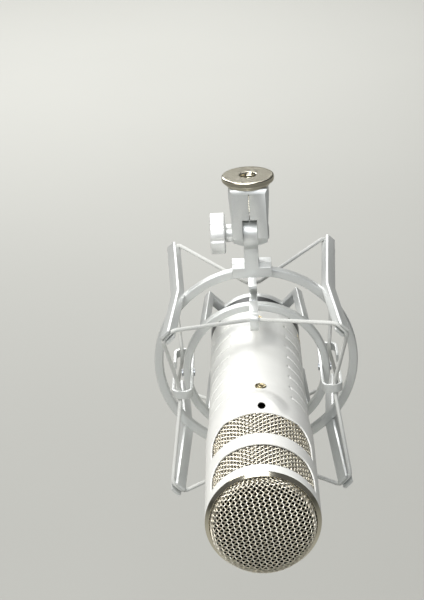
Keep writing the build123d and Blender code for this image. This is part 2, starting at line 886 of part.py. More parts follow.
def board_base():
    return -tray_drop + standoff_height


def circuit_board():
    return mic_block(
        (-board_half_width, board_front_y, board_base()),
        (board_half_width, board_rear_y, board_base() + board_thickness),
    )


def board_standoffs():
    posts = []
    inset = 2 * standoff_radius
    for x in (-board_half_width + inset, board_half_width - inset):
        for y in (board_front_y + inset, board_rear_y - inset):
            post = Pos(x, y, -tray_drop + standoff_height / 2) * Cylinder(standoff_radius, standoff_height)
            posts.append(on_axis(post))
    return Compound(children=posts)


def status_led():
    """The light behind the status lens."""
    return radial_rod(led_radius, shell_bore - led_length, shell_bore, lens_y, mic_turn)


def all_pieces():
    pieces = {
        "thread_adaptor": thread_adaptor(),
        "swivel_barrel": swivel_barrel(),
        "clamp_nut": clamp_nut(),
        "clamp_screw": clamp_screw(),
        "thumb_knob": thumb_knob(),
        "knob_spacer": knob_spacer(),
        "tongue_saddle": tongue_saddle(),
        "outer_ring": outer_ring(),
        "front_elastic": elastic(-1),
        "rear_elastic": elastic(1),
        "cradle_ring": cradle_ring(),
        "hook_rivets": hook_rivets(),
        "rear_collar": rear_collar(),
        "lock_ring": lock_ring(),
        "body_shell": body_shell(),
        "front_bezel": front_bezel(),
        "front_grille": front_grille(),
        "pop_filter": pop_filter(),
        "side_grille": side_grille(),
        "side_liner": side_liner(),
        "status_lens": status_lens(),
        "status_led": status_led(),
        "badge_disc": badge(),
        "chassis_screws": chassis_screws(),
        "rear_cap": rear_cap(),
        "socket_shell": socket_shell(),
        "socket_insert": socket_insert(),
        "socket_pins": socket_pins(),
        "ribbon": ribbon(),
        "ribbon_clamps": ribbon_clamps(),
        "ribbon_screws": ribbon_screws(),
        "pole_pieces": pole_pieces(),
        "magnets": magnets(),
        "motor_frame": motor_frame(),
        "motor_carrier": motor_carrier(),
        "isolator_rings": isolator_rings(),
        "chassis_tray": chassis_tray(),
        "transformer_core": transformer_core(),
        "transformer_coil": transformer_coil(),
        "circuit_board": circuit_board(),
        "board_standoffs": board_standoffs(),
    }
    for name, clock in arm_clocks.items():
        pieces[f"frame_arm_{name}"] = frame_arm(clock)
    for name, clock in hook_clocks.items():
        pieces[f"hook_strap_{name}"] = hook_strap(clock)
    for name, clock in arm_clocks.items():
        pieces[f"cradle_rib_{name}"] = cradle_rib(clock)
    return pieces


os.makedirs("parts", exist_ok=True)
for node, shape in all_pieces().items():
    export_step(shape, f"parts/{node}.step")
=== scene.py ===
"""An end-address studio microphone in an elastic shock mount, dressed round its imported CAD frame.

Metres. The stand thread's mouth is the origin and the microphone's axis runs along Y, grille towards
-Y. A clock angle is measured about that axis: 0 is the top and 90 is the +X side.
"""

import math

import bmesh
import bpy
import numpy as np
from mathutils import Matrix, Vector


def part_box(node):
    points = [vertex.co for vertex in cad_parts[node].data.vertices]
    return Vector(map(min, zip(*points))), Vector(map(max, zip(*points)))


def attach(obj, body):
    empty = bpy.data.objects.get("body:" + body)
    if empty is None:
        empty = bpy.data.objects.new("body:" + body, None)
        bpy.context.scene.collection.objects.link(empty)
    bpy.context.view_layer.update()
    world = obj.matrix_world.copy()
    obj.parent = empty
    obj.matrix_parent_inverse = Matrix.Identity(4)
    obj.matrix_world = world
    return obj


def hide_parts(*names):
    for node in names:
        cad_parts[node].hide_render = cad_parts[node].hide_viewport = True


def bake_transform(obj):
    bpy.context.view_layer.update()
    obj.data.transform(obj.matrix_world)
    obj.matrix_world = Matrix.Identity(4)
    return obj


bl_info = {
    "name": "Studio microphone in a shock mount",
    "version": (1, 0, 0),
    "blender": (4, 5, 0),
    "location": "3D View > Sidebar > Microphone",
    "description": "Builds the visible surfaces of a suspended studio microphone round its CAD frame",
    "category": "Object",
}

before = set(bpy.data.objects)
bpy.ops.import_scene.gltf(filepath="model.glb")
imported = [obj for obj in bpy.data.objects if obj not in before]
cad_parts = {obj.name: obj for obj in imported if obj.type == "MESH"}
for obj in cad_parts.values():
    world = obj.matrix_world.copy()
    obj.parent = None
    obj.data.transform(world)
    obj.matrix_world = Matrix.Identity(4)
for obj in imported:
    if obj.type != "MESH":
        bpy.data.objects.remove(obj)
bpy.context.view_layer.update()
MM = 0.001


def middle_of(node):
    low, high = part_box(node)
    return (low + high) / 2


def high_side(node, axis):
    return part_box(node)[1][axis]


def low_side(node, axis):
    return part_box(node)[0][axis]


AXIS_Z = middle_of("front_bezel")[2]
HEAD_RADIUS = (high_side("front_bezel", 0) - low_side("front_bezel", 0)) / 2


# ---- sizes and colours a user would change
def length(name, default, description):
    """A length given in millimetres and kept in metres."""
    return bpy.props.FloatProperty(
        name=name, default=default * MM, unit="LENGTH", description=description
    )


def count(name, default, description):
    return bpy.props.IntProperty(name=name, default=default, min=1, description=description)


def angle(name, default, description):
    return bpy.props.FloatProperty(
        name=name, default=math.radians(default), subtype="ANGLE", description=description
    )


def paint(name, default, description):
    return bpy.props.StringProperty(name=name, default=default, description=description)


class MicCasingSizes(bpy.types.PropertyGroup):
    turn: angle("Turn", 3.6, "How far the microphone is screwed past upright")
    wall: length("Wall", 0.8, "Thickness of the casing")
    tail_radius: length("Tail radius", 26.0, "Radius of the casing's rear half")
    shoulder: length("Shoulder", -100.0, "Where the casing starts to narrow behind the head")
    waist: length("Waist", -80.0, "Where it stops narrowing quickly")
    tail: length("Tail", -35.0, "Where it reaches its rear radius")
    window_one: length("Rear window", -125.7, "Middle of the rear windows")
    window_two: length("Front window", -158.0, "Middle of the front windows")
    window_one_width: length("Rear window width", 22.6, "Width of the rear windows along the axis")
    window_two_width: length("Front window width", 20.0, "Width of the front windows along the axis")
    window_reach: angle("Window reach", 63.5, "Angle from a window's middle to its ends")
    hump: length("Hump", 3.6, "Height of the hump round the status light")
    hump_radius: length("Hump radius", 16.0, "Radius of the hump's foot")
    hump_y: length("Hump place", -104.0, "Middle of the hump")
    facet_radius: length("Facet radius", 27.3, "Radius of the sloping land at the window's edge")
    facet_slope: bpy.props.FloatProperty(name="Facet slope", default=0.5, description="Its rise")
    facet_fade: length("Facet fade", 1.2, "How far the land has risen where it ends")
    facet_fade_from: angle("Facet fade start", 26, "Angle from the top where it starts to rise")
    facet_fade_to: angle("Facet fade end", 60, "Angle from the top where it ends")
    groove_depth: length("Groove depth", 0.8, "Depth of the grip grooves")
    groove_width: length("Groove width", 1.5, "Width of the grip grooves")
    groove_pitch: length("Groove pitch", 12.76, "Distance between grip grooves")
    groove_first: length("First groove", 2.8, "Place of the rearmost groove")
    groove_count: count("Grooves", 8, "Grip grooves on each side")
    groove_from: angle("Groove start", 38.0, "Angle from the top to a groove's dimple")
    groove_to: angle("Groove end", 98.0, "Angle from the top to a groove's far end")
    dimple_radius: length("Dimple radius", 1.1, "Radius of the dimple that starts a groove")
    dimple_depth: length("Dimple depth", 2.2, "Depth of that dimple")
    lens_y: length("Light", -110.4, "Middle of the status light")
    lens_radius: length("Light radius", 1.95, "Radius of the status light's hole")


class MicMeshSizes(bpy.types.PropertyGroup):
    pitch: length("Pitch", 1.95, "Distance between neighbouring wires")
    wire: length("Wire", 0.62, "Diameter of the wire")
    slant: angle("Slant", 53.4, "Angle of the front mesh's first wires from level")
    sides: count("Wire sides", 6, "Sides of a wire's section")
    steps: count("Steps", 6, "Rings of points between two crossings")


class MicCordSizes(bpy.types.PropertyGroup):
    diameter: length("Diameter", 2.2, "Diameter of the elastic cord")
    bend: length("Bend", 2.6, "How far a bend reaches from its corner")
    plait: length("Plait", 0.9, "Length of one stitch of the braid")
    relief: length("Relief", 0.05, "How far the braid's strands stand out")
    strands: count("Strands", 8, "Braid strands seen round the cord each way")


class MicColours(bpy.types.PropertyGroup):
    white: paint("Casing", "#E9E9E5", "Casing paint")
    silver: paint("Mount", "#D6D8D6", "Mount paint")
    bright: paint("Knob", "#EDEEEC", "Knob and spacer")
    nickel: paint("Nickel", "#D6D0BE", "Nickel plate")
    wire: paint("Wire", "#F2ECDD", "Woven wire")
    cord: paint("Cord", "#D5D6D2", "Elastic cord")
    brass: paint("Brass", "#A89C7C", "Badge and screws")
    floor: paint("Floor", "#B4B4AF", "Backdrop")


# ---- meshes
def new_object(name, data):
    """An object in the scene's own collection."""
    obj = bpy.data.objects.new(name, data)
    bpy.context.scene.collection.objects.link(obj)
    return obj


def mesh_object(name, points, faces, material):
    """A smooth mesh object at the origin from an array of points and a list of faces."""
    mesh = bpy.data.meshes.new(name)
    mesh.from_pydata(np.asarray(points).reshape(-1, 3).tolist(), [], faces)
    mesh.update()
    mesh.polygons.foreach_set("use_smooth", np.ones(len(mesh.polygons), dtype=bool))
    mesh.materials.append(material)
    return new_object(name, mesh)


def grid_faces(rows, columns, wrap_rows, wrap_columns):
    """Quads between neighbouring points of a grid, numbered row by row, closed round where asked."""
    i, j = np.meshgrid(
        np.arange(rows if wrap_rows else rows - 1),
        np.arange(columns if wrap_columns else columns - 1),
        indexing="ij",
    )
    next_i = (i + 1) % rows
    next_j = (j + 1) % columns
    quads = [i * columns + j, i * columns + next_j, next_i * columns + next_j, next_i * columns + j]
    return np.stack(quads, axis=-1).reshape(-1, 4).tolist()


def full_turn(steps):
    """Evenly spaced angles round a full turn, in radians."""
    return np.linspace(0, 2 * math.pi, steps, endpoint=False)


def unit(vectors):
    """Each row made one long."""
    return vectors / np.linalg.norm(vectors, axis=1, keepdims=True)


def chord(line):
    """At each point of a closed line, the run from its last neighbour to its next."""
    return np.roll(line, -1, axis=0) - np.roll(line, 1, axis=0)


def about_mic(radius, y, clock):
    """Points at a radius, a place along Y and a clock angle about the microphone's axis."""
    radius, y, clock = np.broadcast_arrays(radius, y, clock)
    return np.stack([radius * np.sin(clock), y, radius * np.cos(clock) + AXIS_Z], axis=-1)


def quadratic(start, corner, end, t):
    """A quadratic curve: (1-t)^2 start + 2t(1-t) corner + t^2 end."""
    return (1 - t) ** 2 * start + 2 * t * (1 - t) * corner + t**2 * end


def outward_at(clock):
    """Normals straight out from the microphone's axis."""
    return np.stack([np.sin(clock), 0 * clock, np.cos(clock)], axis=-1)


def rounded_outline(corners, rounding, steps, most=0.49):
    """A closed outline of flat or solid corners, each replaced by a quadratic curve that starts and ends
    one rounding away from it, or at the given share of a shorter run."""
    corners = np.asarray(corners, dtype=float)
    before = np.roll(corners, 1, axis=0) - corners
    after = np.roll(corners, -1, axis=0) - corners
    reach_before = np.linalg.norm(before, axis=1, keepdims=True)
    reach_after = np.linalg.norm(after, axis=1, keepdims=True)
    start = corners + before / reach_before * np.minimum(rounding, reach_before * most)
    end = corners + after / reach_after * np.minimum(rounding, reach_after * most)
    t = np.linspace(0, 1, steps)[None, :, None]
    curve = quadratic(start[:, None], corners[:, None], end[:, None], t)
    return curve.reshape(-1, corners.shape[1])


def turned_ring(name, corners, rounding, material, steps_round):
    """A closed ring: the rounded outline of (radius, y), turned about the microphone's axis."""
    radius, y = rounded_outline(corners, rounding, steps_round).T
    return closed_mesh(name, about_mic(radius, y, full_turn(256)[:, None]), material)


def closed_mesh(name, points, material):
    """A closed mesh from a grid of points that joins up both ways."""
    rows, columns = points.shape[:2]
    return outward(mesh_object(name, points, grid_faces(rows, columns, True, True), material))


def outward(obj):
    """Turn a closed mesh's faces outwards if its signed volume comes out negative."""
    mesh = obj.data
    mesh.calc_loop_triangles()
    place = np.empty(len(mesh.vertices) * 3)
    mesh.vertices.foreach_get("co", place)
    corner = np.empty(len(mesh.loop_triangles) * 3, dtype=np.int32)
    mesh.loop_triangles.foreach_get("vertices", corner)
    a, b, c = place.reshape(-1, 3)[corner.reshape(-1, 3)].transpose(1, 0, 2)
    if np.einsum("ij,ij->i", a, np.cross(b, c)).sum() < 0:
        mesh.flip_normals()
    return obj


def eased_copy(node, width, material):
    """The CAD node's own shape with its doubles merged, its flat faces joined up and its edges eased by
    a rounded bevel, so that the edges catch the light as a cast or machined part's do."""
    mesh = bpy.data.meshes.new(node)
    work = bmesh.new()
    work.from_mesh(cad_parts[node].data)
    bmesh.ops.remove_doubles(work, verts=work.verts, dist=0.002 * MM)
    bmesh.ops.dissolve_limit(work, angle_limit=math.radians(0.6), verts=work.verts, edges=work.edges)
    for face in work.faces:
        face.smooth = True
    work.to_mesh(mesh)
    work.free()
    mesh.materials.clear()
    mesh.materials.append(material)
    obj = new_object(f"{node}_eased", mesh)
    bevel = obj.modifiers.new("eased edges", "BEVEL")
    bevel.width = width
    bevel.segments = 3
    bevel.limit_method = "ANGLE"
    bevel.angle_limit = math.radians(28.0)
    bevel.harden_normals = True
    bevel.use_clamp_overlap = True
    return obj


def place_piece(obj, body, slot, *nodes):
    """Fix a finished piece to its body and hide the CAD nodes it stands for; the slot is not used."""
    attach(obj, body)
    if nodes:
        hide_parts(*nodes)
    return obj


# ---- materials
def linear(code):
    """An sRGB hex colour as linear red, green, blue and alpha."""
    parts = [int(code[i : i + 2], 16) / 255 for i in (1, 3, 5)]
    return [p / 12.92 if p <= 0.04045 else ((p + 0.055) / 1.055) ** 2.4 for p in parts] + [1.0]


def add(tree, kind, inputs=None, **settings):
    """Add a node, set its properties, and link or set its inputs."""
    node = tree.nodes.new(kind)
    for key, value in settings.items():
        setattr(node, key, value)
    for key, value in (inputs or {}).items():
        if isinstance(value, bpy.types.NodeSocket):
            tree.links.new(value, node.inputs[key])
        else:
            node.inputs[key].default_value = value
    return node


def new_material(name, **sockets):
    """A material with one Principled shader whose plain values sit on its own sockets."""
    material = bpy.data.materials.new(name)
    material.use_nodes = True
    tree = material.node_tree
    shader = tree.nodes["Principled BSDF"]
    for key, value in sockets.items():
        shader.inputs[key.replace("_", " ")].default_value = value
    return material, tree, shader


def noise_at(tree, size, detail=3.0, roughness=0.5):
    """Noise whose blotches are about the given size in metres, on object coordinates."""
    place = add(tree, "ShaderNodeTexCoord").outputs["Object"]
    inputs = {"Vector": place, "Scale": 1 / size, "Detail": detail}
    return add(tree, "ShaderNodeTexNoise", inputs | {"Roughness": roughness}).outputs["Fac"]


def tint_base(tree, shader, factor, code, first, second, low=0.35, high=0.65):
    """Colour the surface by a factor: first times the colour at low and second times it at high."""
    ramp = add(tree, "ShaderNodeValToRGB", {"Fac": factor})
    for element, place, amount in zip(ramp.color_ramp.elements, (low, high), (first, second)):
        element.position = place
        element.color = [min(1.0, part * amount) for part in linear(code)[:3]] + [1.0]
    tree.links.new(ramp.outputs["Color"], shader.inputs["Base Color"])


def vary_roughness(tree, shader, factor, low, high):
    spread = add(tree, "ShaderNodeMapRange", {"Value": factor, "To Min": low, "To Max": high})
    tree.links.new(spread.outputs["Result"], shader.inputs["Roughness"])


def raise_bumps(tree, shader, height, depth, strength=1.0):
    """Bump whose full height is the given depth in metres."""
    bump = add(tree, "ShaderNodeBump", {"Height": height, "Distance": depth, "Strength": strength})
    tree.links.new(bump.outputs["Normal"], shader.inputs["Normal"])


def satin_enamel(name, code):
    """Powder enamel on aluminium: a soft even sheen, a fine orange peel and a trace of dust."""
    material, tree, shader = new_material(name, IOR=1.5, Coat_Weight=0.25, Coat_Roughness=0.28)
    tint_base(tree, shader, noise_at(tree, 14 * MM, 4.0), code, 0.965, 1.0)
    vary_roughness(tree, shader, noise_at(tree, 3 * MM), 0.34, 0.44)
    raise_bumps(tree, shader, noise_at(tree, 0.55 * MM, 2.0), 0.012 * MM, 0.6)
    return material


def metallic_lacquer(name, code, metallic=0.45, roughness=0.36):
    """Silver lacquer with metal flake over die-cast zinc: a broad soft highlight with a fine glitter
    grain, drawn at 0.35 mm because the real flake is too fine to show."""
    material, tree, shader = new_material(name, Metallic=metallic, Coat_Weight=0.2, Coat_Roughness=0.22)
    flake = noise_at(tree, 0.35 * MM, 2.0, 0.7)
    tint_base(tree, shader, flake, code, 0.9, 1.06)
    vary_roughness(tree, shader, noise_at(tree, 6 * MM, 4.0), roughness - 0.05, roughness + 0.07)
    raise_bumps(tree, shader, flake, 0.008 * MM, 0.7)
    return material


def plated_metal(name, code, roughness=0.12, marks=0.4 * MM):
    """Bright plating on turned metal: crisp reflections, a warm tint and faint polishing marks."""
    material, tree, shader = new_material(name, Metallic=1.0)
    tint_base(tree, shader, noise_at(tree, 9 * MM, 5.0), code, 0.93, 1.0)
    vary_roughness(tree, shader, noise_at(tree, 2 * MM, 5.0), roughness * 0.7, roughness * 1.5)
    raise_bumps(tree, shader, noise_at(tree, marks, 2.0), 0.004 * MM, 0.4)
    return material


def moulded_plastic(name, code, roughness=0.45, grain=0.5 * MM, depth=0.02 * MM):
    """Moulded ABS or rubber: an even colour with a spark-eroded grain that breaks up the highlight."""
    material, tree, shader = new_material(name, IOR=1.49)
    tint_base(tree, shader, noise_at(tree, 5 * MM, 3.0), code, 0.85, 1.1)
    vary_roughness(tree, shader, noise_at(tree, 1.5 * MM), roughness - 0.06, roughness + 0.08)
    raise_bumps(tree, shader, noise_at(tree, grain, 1.0), depth, 0.7)
    return material


def open_cell_foam(name, code):
    """Black reticulated foam: no gloss at all and a pitted surface of 0.8 mm cells, with painted shade
    darkening each cell's hollow.
    """
    material, tree, shader = new_material(name, Roughness=1.0, Specular_IOR_Level=0.1)
    place = add(tree, "ShaderNodeTexCoord").outputs["Object"]
    cells = add(tree, "ShaderNodeTexVoronoi", {"Vector": place, "Scale": 1 / (0.8 * MM)})
    # painted shade: the colour darkens towards each cell's middle, where the bump sinks into a pit
    tint_base(tree, shader, cells.outputs["Distance"], code, 0.3, 1.0, 0.1, 0.6)
    raise_bumps(tree, shader, cells.outputs["Distance"], 0.3 * MM)
    return material


def braided_elastic(name, code):
    """Braided polyester over rubber: a soft dull cord whose strands cross, with painted shade darkening
    the gaps between them. The pattern follows the cord's own UV map: u runs round it and v along it, one
    unit to a stitch."""
    material, tree, shader = new_material(name, Roughness=0.72, Sheen_Weight=0.35, Sheen_Roughness=0.5)
    uv = add(tree, "ShaderNodeUVMap", uv_map="UVMap").outputs["UV"]
    axes = add(tree, "ShaderNodeSeparateXYZ", {"Vector": uv})
    sums = []
    for operation in ("ADD", "SUBTRACT"):
        pair = {0: axes.outputs["X"], 1: axes.outputs["Y"]}
        slant = add(tree, "ShaderNodeMath", pair, operation=operation)
        turn = add(tree, "ShaderNodeMath", {0: slant.outputs[0], 1: math.pi}, operation="MULTIPLY")
        wave = add(tree, "ShaderNodeMath", {0: turn.outputs[0]}, operation="SINE")
        sums.append(add(tree, "ShaderNodeMath", {0: wave.outputs[0]}, operation="ABSOLUTE").outputs[0])
    weave = add(tree, "ShaderNodeMath", {0: sums[0], 1: sums[1]}, operation="MINIMUM").outputs[0]
    # painted shade: the gaps between strands, where the bump dips, are coloured darker
    tint_base(tree, shader, weave, code, 0.62, 1.0, 0.05, 0.4)
    raise_bumps(tree, shader, weave, 0.06 * MM, 0.8)
    return material


def smoked_acrylic(name, code):
    """Smoked acrylic: nearly black, with a sharp clear gloss on top."""
    material, tree, shader = new_material(name, IOR=1.49, Coat_Weight=1.0, Coat_Roughness=0.02)
    tint_base(tree, shader, noise_at(tree, 2 * MM), code, 0.7, 1.0)
    vary_roughness(tree, shader, noise_at(tree, 1 * MM), 0.05, 0.12)
    return material


def wound_wire(name, code, turn=0.5 * MM):
    """Enamelled copper wire wound in layers: fine parallel ridges with a warm gloss, and painted shade
    darkening the troughs between them.
    """
    material, tree, shader = new_material(name, Metallic=0.9, Roughness=0.3)
    place = add(tree, "ShaderNodeTexCoord").outputs["Object"]
    scale = math.pi / 10 / turn
    ridges = add(tree, "ShaderNodeTexWave", {"Vector": place, "Scale": scale}, bands_direction="Y")
    # painted shade: the troughs between ridges, where the bump sinks, are coloured darker
    tint_base(tree, shader, ridges.outputs["Fac"], code, 0.5, 1.0)
    raise_bumps(tree, shader, ridges.outputs["Fac"], 0.1 * MM)
    return material


materials = {}


def make_materials():
    colours = bpy.context.scene.mic_colours
    materials.update(
        enamel=satin_enamel("white_satin_enamel", colours.white),
        lacquer=metallic_lacquer("silver_flake_lacquer", colours.silver),
        pale_lacquer=metallic_lacquer("pale_silver_lacquer", colours.bright, 0.35, 0.3),
        nickel=plated_metal("polished_nickel_plate", colours.nickel, 0.13),
        wire=plated_metal("nickel_plated_wire", colours.wire, 0.31, 2.0 * MM),
        brass=plated_metal("lacquered_brass", colours.brass, 0.25),
        gold=plated_metal("gold_plated_contact", "#D9B465", 0.15),
        steel=plated_metal("zinc_plated_steel", "#B9BCC0", 0.32),
        yoke=plated_metal("soft_iron_yoke", "#8C8F92", 0.4),
        magnet=plated_metal("nickel_coated_magnet", "#A9ABAE", 0.25),
        foil=plated_metal("corrugated_aluminium_foil", "#E4E6E8", 0.2, 0.2 * MM),
        laminations=wound_wire("stacked_steel_laminations", "#7E8083", 0.7 * MM),
        winding=wound_wire("enamelled_copper_winding", "#B06A3A"),
        abs=moulded_plastic("black_moulded_abs", "#17181A"),
        rubber=moulded_plastic("soft_black_rubber", "#1B1B1C", 0.8, 0.9 * MM),
        board=moulded_plastic("green_solder_resist", "#1E5A38", 0.25, 2.5 * MM, 0.03 * MM),
        foam=open_cell_foam("black_reticulated_foam", "#101010"),
        cord=braided_elastic("braided_polyester_elastic", colours.cord),
        acrylic=smoked_acrylic("smoked_acrylic", "#0A0A0B"),
    )


# ---- casing
def between(value, low, high):
    """0 below low, 1 above high and a smooth step 3t^2 - 2t^3 between."""
    t = np.clip((value - low) / (high - low), 0, 1)
    return t * t * (3 - 2 * t)


def from_middle(clock, middle):
    """A clock angle measured from a middle, between minus and plus half a turn."""
    return (clock - middle + math.pi) % (2 * math.pi) - math.pi


def casing_radius(sizes, clock, y):
    """The casing's outer radius: a straight head that narrows in two steps to the tail; a smooth hump
    round the light, of height 0.5 + 0.5 cos(pi s^1.15) where s is the distance over the hump's radius;
    the lower of that and a cone that slopes down to the rear window's edge and fades out towards the
    sides; less round-bottomed grooves of elliptical section that end in dimples."""
    waist_radius = sizes.tail_radius + (HEAD_RADIUS - sizes.tail_radius) / 3
    places = (sizes.shoulder, sizes.waist, sizes.tail)
    radius = np.interp(y, places, (HEAD_RADIUS, waist_radius, sizes.tail_radius))
    from_top = np.abs(from_middle(clock, sizes.turn))
    across = HEAD_RADIUS * from_top
    distance = np.minimum(np.hypot(across, y - sizes.hump_y) / sizes.hump_radius, 1)
    radius = radius + sizes.hump * (0.5 + 0.5 * np.cos(math.pi * distance**1.15))
    window_edge = sizes.window_one + sizes.window_one_width / 2
    nearer = np.minimum(from_top, math.pi - from_top)
    faded = sizes.facet_fade * between(nearer, sizes.facet_fade_from, sizes.facet_fade_to)
    behind = np.maximum(y - window_edge, 0)
    cone = sizes.facet_radius + sizes.facet_slope * behind + faded
    radius = np.where(y > sizes.window_one, np.minimum(radius, cone), radius)
    for index in range(sizes.groove_count):
        along = y - (sizes.groove_first - index * sizes.groove_pitch)
        past_ends = np.maximum(sizes.groove_from - from_top, from_top - sizes.groove_to)
        end_distance = np.maximum(past_ends, 0) * sizes.tail_radius
        reach = np.hypot(along, end_distance) / (sizes.groove_width / 2)
        radius = radius - sizes.groove_depth * np.sqrt(np.clip(1 - reach**2, 0, 1))
        dimple = np.hypot(along, (from_top - sizes.groove_from) * sizes.tail_radius)
        radius = radius - sizes.dimple_depth * np.clip(1 - (dimple / sizes.dimple_radius) ** 2, 0, 1)
    return radius


def refine(values, extra):
    """Sorted places with the extra ones put in and near doubles dropped."""
    merged = np.sort(np.concatenate([values, extra]))
    keep = np.concatenate([[True], np.diff(merged) > 0.05 * MM])
    return merged[keep]


def casing_rows(sizes):
    """Places along the axis: 1 mm apart in general, closer from the front windows to the hump, and
    closest across each groove."""
    coarse = 1.0 * MM
    fine = 0.45 * MM
    clear_of_groove = 0.9 * MM
    rear = high_side("body_shell", 1)
    rows = np.arange(low_side("body_shell", 1), rear, coarse)
    middles = sizes.groove_first - np.arange(sizes.groove_count) * sizes.groove_pitch
    offsets = np.linspace(-1.1, 1.1, 13) * sizes.groove_width / 2
    rows = rows[np.abs(rows[:, None] - middles[None]).min(axis=1) > clear_of_groove]
    windows_start = sizes.window_two - sizes.window_two_width / 2
    head = np.arange(windows_start - coarse, sizes.hump_y + sizes.hump_radius / 2, fine)
    rows = [rows[rows < head[0]], head, rows[rows > head[-1] + coarse / 2]]
    rows = refine(np.concatenate(rows), [])
    return np.append(refine(rows, (middles[:, None] + offsets[None]).ravel()), rear)


class MICROPHONE_OT_casing(bpy.types.Operator):
    """White enamelled casing with its windows, status hump and grip grooves"""

    bl_idname = "microphone.casing"
    bl_label = "Casing"

    def execute(self, context):
        sizes = context.scene.mic_casing
        rows = casing_rows(sizes)
        clocks = full_turn(400) + sizes.turn
        radius = casing_radius(sizes, clocks[None, :], rows[:, None])
        front_easing = 0.25 * MM
        rear_easing = 0.35 * MM
        radius[0] -= front_easing
        radius[-1] -= rear_easing
        points = about_mic(radius, rows[:, None], clocks[None, :])
        faces = np.array(grid_faces(len(rows), len(clocks), False, True))
        middle_y = rows[:-1, None] + np.diff(rows)[:, None] / 2
        middle_clock = clocks[None, :] + math.pi / len(clocks)
        keep = opening_distance(sizes, middle_clock, middle_y) >= 0
        faces = faces[keep.ravel()].tolist()
        shell = mesh_object("casing_shell", points, faces, materials["enamel"])
        snap_to_openings(shell, sizes)
        wall = shell.modifiers.new("wall", "SOLIDIFY")
        wall.thickness = sizes.wall
        wall.offset = -1.0
        wall.bevel_convex = 1.0
        edge = shell.modifiers.new("window edges", "BEVEL")
        edge.limit_method = "WEIGHT"
        edge.width = 0.18 * MM
        edge.segments = 2
        place_piece(shell, "cradle", "white_paint", "body_shell")
        return {"FINISHED"}


def opening_distance(sizes, clock, y):
    """How far outside the nearest opening's outline a point is, in metres; negative inside. In the flat
    of radius times angle a window is a box in front of its middle and a slot with half-circle ends
    behind it, and the light's hole is a circle."""
    nearest = np.full(np.broadcast(clock, y).shape, np.inf)
    windows = ((sizes.window_one, sizes.window_one_width), (sizes.window_two, sizes.window_two_width))
    from_top = np.abs(from_middle(clock, sizes.turn))
    past_end = HEAD_RADIUS * (np.minimum(from_top, math.pi - from_top) - sizes.window_reach)
    for middle_y, width in windows:
        behind = y - middle_y
        slot = np.hypot(np.maximum(past_end + width / 2, 0), behind) - width / 2
        past_front = -behind - width / 2
        outside = np.hypot(np.maximum(past_end, 0), np.maximum(past_front, 0))
        box = outside + np.minimum(np.maximum(past_end, past_front), 0)
        nearest = np.minimum(nearest, np.where(behind > 0, slot, box))
    hole = np.hypot(from_top * HEAD_RADIUS, y - sizes.lens_y) - sizes.lens_radius
    return np.minimum(nearest, hole)


def snap_to_openings(shell, sizes):
    """Move the points along each opening's stepped rim onto its true outline, by sliding them along the
    slope of the distance to it, and delete the points that no face uses."""
    mesh = shell.data
    place = np.empty(len(mesh.vertices) * 3)
    mesh.vertices.foreach_get("co", place)
    place = place.reshape(-1, 3)
    clock = np.arctan2(place[:, 0], place[:, 2] - AXIS_Z)
    y = place[:, 1].copy()
    near = np.abs(opening_distance(sizes, clock, y)) < 1.2 * MM
    face_count = np.zeros(len(mesh.vertices), dtype=int)
    corners = np.empty(len(mesh.loops), dtype=np.int32)
    mesh.loops.foreach_get("vertex_index", corners)
    np.add.at(face_count, corners, 1)
    rim = near & (face_count < 4) & (face_count > 0)
    step = 0.01 * MM
    for _ in range(4):
        here = opening_distance(sizes, clock[rim], y[rim])
        slope_clock = (opening_distance(sizes, clock[rim] + step / HEAD_RADIUS, y[rim]) - here) / step
        slope_y = (opening_distance(sizes, clock[rim], y[rim] + step) - here) / step
        size = slope_clock**2 + slope_y**2 + 1e-9
        clock[rim] -= here * slope_clock / size / HEAD_RADIUS
        y[rim] -= here * slope_y / size
    radius = casing_radius(sizes, clock, y)
    place[rim] = about_mic(radius[rim], y[rim], clock[rim])
    mesh.vertices.foreach_set("co", place.ravel())
    work = bmesh.new()
    work.from_mesh(mesh)
    bmesh.ops.delete(work, geom=[v for v in work.verts if not v.link_faces], context="VERTS")
    work.to_mesh(mesh)
    work.free()
    mesh.update()


# ---- woven wire
def tubes(name, wires, sizes, material):
    """Round wires as one mesh. Each wire is its points, the surface normals there and whether it joins up
    with itself; if not, it has a flat cap at each end. Each ring is centre + radius (cos a side + sin a
    up), with side = along x normal."""
    points = []
    faces = []
    offset = 0
    sides = sizes.sides
    turn = full_turn(sides)[None, :, None]
    for line, normal, joined in wires:
        along = unit(chord(line) if joined else np.gradient(line, axis=0))
        side = unit(np.cross(along, normal))
        up = np.cross(side, along)
        arm = np.cos(turn) * side[:, None] + np.sin(turn) * up[:, None]
        ring = line[:, None] + sizes.wire / 2 * arm
        points.append(ring.reshape(-1, 3))
        quads = np.array(grid_faces(len(line), sides, joined, True)) + offset
        faces += quads.tolist()
        if not joined:
            faces.append((np.arange(sides)[::-1] + offset).tolist())
            faces.append((np.arange(sides) + offset + (len(line) - 1) * sides).tolist())
        offset += len(line) * sides
    return outward(mesh_object(name, np.concatenate(points), faces, material))


def dome_profile():
    """The front mesh's middle surface as (radius, y) points from its crown to its skirt: a shallow cap, a
    round shoulder and a short straight skirt."""
    outer = (high_side("front_grille", 0) - low_side("front_grille", 0)) / 2
    crown_y = low_side("front_grille", 1)
    cap_radius = outer - 5.8 * MM
    cap_y = crown_y + 1.2 * MM
    knee_y = cap_y + 0.9 * MM
    shoulder_y = crown_y + 6.4 * MM
    end_y = high_side("front_grille", 1) - 1.5 * MM
    t = np.linspace(0, 1, 40)[:, None]
    cap = np.concatenate([cap_radius * t, crown_y + (cap_y - crown_y) * t**2], axis=1)
    corners = np.array([(cap_radius, cap_y), (outer, knee_y), (outer, shoulder_y)])
    return np.concatenate([cap, quadratic(*corners, t)[1:], [[outer, end_y]]])


